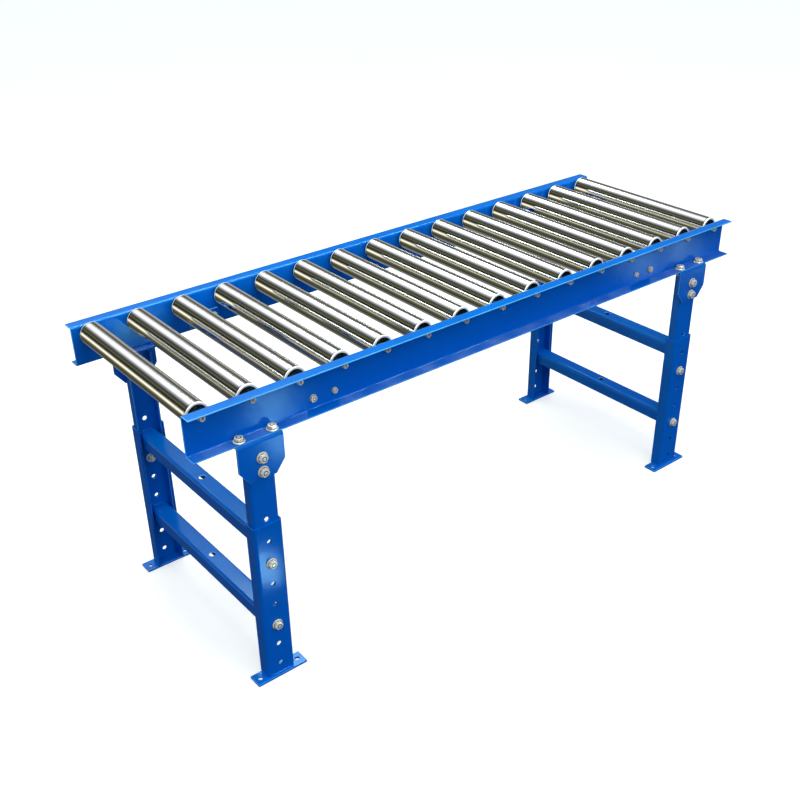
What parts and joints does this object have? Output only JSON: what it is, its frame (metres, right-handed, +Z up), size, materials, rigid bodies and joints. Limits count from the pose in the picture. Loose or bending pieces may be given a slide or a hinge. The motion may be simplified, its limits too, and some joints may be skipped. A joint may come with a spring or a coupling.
{
  "type": "gravity roller conveyor",
  "caption": "Straight gravity roller conveyor: free-turning steel rollers between two channel rails, on two height-adjustable H-frame supports with foot plates.",
  "frame": {"origin": "on the floor, under the middle of the bed: centre of the bounding box's bottom face", "axes": "+X along the bed, the way goods roll; +Y across the bed, along the rollers; +Z up"},
  "size_m": [1.498, 0.5198, 0.6563],
  "materials": {
    "blue_powder_coat": "glossy bright blue powder coat over bent sheet steel",
    "roller_steel": "bright polished zinc-plated tube with fine lines around it",
    "axle_steel": "drawn hexagonal bar with warm zinc plating",
    "zinc_bolt_steel": "cold-formed bolts and nuts with pale yellow zinc plating"
  },
  "bodies": {
    "bed": {"side_rail_front": "blue_powder_coat", "side_rail_back": "blue_powder_coat", "cross_member_left": "blue_powder_coat", "cross_member_right": "blue_powder_coat", "knee_bracket_left_front": "blue_powder_coat", "knee_bracket_left_back": "blue_powder_coat", "knee_bracket_right_front": "blue_powder_coat", "knee_bracket_right_back": "blue_powder_coat", "pivot_bolt_left_front": "zinc_bolt_steel", "pivot_bolt_left_back": "zinc_bolt_steel", "pivot_bolt_right_front": "zinc_bolt_steel", "pivot_bolt_right_back": "zinc_bolt_steel", "axle_01": "axle_steel", "axle_02": "axle_steel", "axle_03": "axle_steel", "axle_04": "axle_steel", "axle_05": "axle_steel", "axle_06": "axle_steel", "axle_07": "axle_steel", "axle_08": "axle_steel", "axle_09": "axle_steel", "axle_10": "axle_steel", "axle_11": "axle_steel", "axle_12": "axle_steel", "axle_13": "axle_steel", "axle_14": "axle_steel", "axle_15": "axle_steel"},
    "roller_01": {"roller_01": "roller_steel"},
    "roller_02": {"roller_02": "roller_steel"},
    "roller_03": {"roller_03": "roller_steel"},
    "roller_04": {"roller_04": "roller_steel"},
    "roller_05": {"roller_05": "roller_steel"},
    "roller_06": {"roller_06": "roller_steel"},
    "roller_07": {"roller_07": "roller_steel"},
    "roller_08": {"roller_08": "roller_steel"},
    "roller_09": {"roller_09": "roller_steel"},
    "roller_10": {"roller_10": "roller_steel"},
    "roller_11": {"roller_11": "roller_steel"},
    "roller_12": {"roller_12": "roller_steel"},
    "roller_13": {"roller_13": "roller_steel"},
    "roller_14": {"roller_14": "roller_steel"},
    "roller_15": {"roller_15": "roller_steel"},
    "support_left": {"upper_leg_left_front": "blue_powder_coat", "upper_leg_left_back": "blue_powder_coat", "brace_left_upper": "blue_powder_coat", "brace_left_lower": "blue_powder_coat"},
    "support_right": {"upper_leg_right_front": "blue_powder_coat", "upper_leg_right_back": "blue_powder_coat", "brace_right_upper": "blue_powder_coat", "brace_right_lower": "blue_powder_coat"},
    "leg_left_front": {"lower_leg_left_front": "blue_powder_coat", "foot_plate_left_front": "blue_powder_coat"},
    "leg_left_back": {"lower_leg_left_back": "blue_powder_coat", "foot_plate_left_back": "blue_powder_coat"},
    "leg_right_front": {"lower_leg_right_front": "blue_powder_coat", "foot_plate_right_front": "blue_powder_coat"},
    "leg_right_back": {"lower_leg_right_back": "blue_powder_coat", "foot_plate_right_back": "blue_powder_coat"}
  },
  "joints": [
    {"name": "roller_01_spin", "type": "hinge", "parent": "bed", "child": "roller_01", "pos_m": [-0.7112, 0, 0.6325], "axis": [0, 1, 0], "continuous": true},
    {"name": "roller_02_spin", "type": "hinge", "parent": "bed", "child": "roller_02", "pos_m": [-0.6096, 0, 0.6325], "axis": [0, 1, 0], "continuous": true},
    {"name": "roller_03_spin", "type": "hinge", "parent": "bed", "child": "roller_03", "pos_m": [-0.508, 0, 0.6325], "axis": [0, 1, 0], "continuous": true},
    {"name": "roller_04_spin", "type": "hinge", "parent": "bed", "child": "roller_04", "pos_m": [-0.4064, 0, 0.6325], "axis": [0, 1, 0], "continuous": true},
    {"name": "roller_05_spin", "type": "hinge", "parent": "bed", "child": "roller_05", "pos_m": [-0.3048, 0, 0.6325], "axis": [0, 1, 0], "continuous": true},
    {"name": "roller_06_spin", "type": "hinge", "parent": "bed", "child": "roller_06", "pos_m": [-0.2032, 0, 0.6325], "axis": [0, 1, 0], "continuous": true},
    {"name": "roller_07_spin", "type": "hinge", "parent": "bed", "child": "roller_07", "pos_m": [-0.1016, 0, 0.6325], "axis": [0, 1, 0], "continuous": true},
    {"name": "roller_08_spin", "type": "hinge", "parent": "bed", "child": "roller_08", "pos_m": [0, 0, 0.6325], "axis": [0, 1, 0], "continuous": true},
    {"name": "roller_09_spin", "type": "hinge", "parent": "bed", "child": "roller_09", "pos_m": [0.1016, 0, 0.6325], "axis": [0, 1, 0], "continuous": true},
    {"name": "roller_10_spin", "type": "hinge", "parent": "bed", "child": "roller_10", "pos_m": [0.2032, 0, 0.6325], "axis": [0, 1, 0], "continuous": true},
    {"name": "roller_11_spin", "type": "hinge", "parent": "bed", "child": "roller_11", "pos_m": [0.3048, 0, 0.6325], "axis": [0, 1, 0], "continuous": true},
    {"name": "roller_12_spin", "type": "hinge", "parent": "bed", "child": "roller_12", "pos_m": [0.4064, 0, 0.6325], "axis": [0, 1, 0], "continuous": true},
    {"name": "roller_13_spin", "type": "hinge", "parent": "bed", "child": "roller_13", "pos_m": [0.508, 0, 0.6325], "axis": [0, 1, 0], "continuous": true},
    {"name": "roller_14_spin", "type": "hinge", "parent": "bed", "child": "roller_14", "pos_m": [0.6096, 0, 0.6325], "axis": [0, 1, 0], "continuous": true},
    {"name": "roller_15_spin", "type": "hinge", "parent": "bed", "child": "roller_15", "pos_m": [0.7112, 0, 0.6325], "axis": [0, 1, 0], "continuous": true},
    {"name": "support_left_tilt", "type": "hinge", "parent": "bed", "child": "support_left", "pos_m": [-0.615, 0, 0.5255], "axis": [0, 1, 0], "range_deg": [-3, 3]},
    {"name": "support_right_tilt", "type": "hinge", "parent": "bed", "child": "support_right", "pos_m": [0.615, 0, 0.5255], "axis": [0, 1, 0], "range_deg": [-3, 3]},
    {"name": "leg_left_front_length", "type": "slide", "parent": "support_left", "child": "leg_left_front", "axis": [0, 0, 1], "range_m": [-0.0508, 0.1016]},
    {"name": "leg_left_back_length", "type": "slide", "parent": "support_left", "child": "leg_left_back", "axis": [0, 0, 1], "range_m": [-0.0508, 0.1016]},
    {"name": "leg_right_front_length", "type": "slide", "parent": "support_right", "child": "leg_right_front", "axis": [0, 0, 1], "range_m": [-0.0508, 0.1016]},
    {"name": "leg_right_back_length", "type": "slide", "parent": "support_right", "child": "leg_right_back", "axis": [0, 0, 1], "range_m": [-0.0508, 0.1016]}
  ]
}
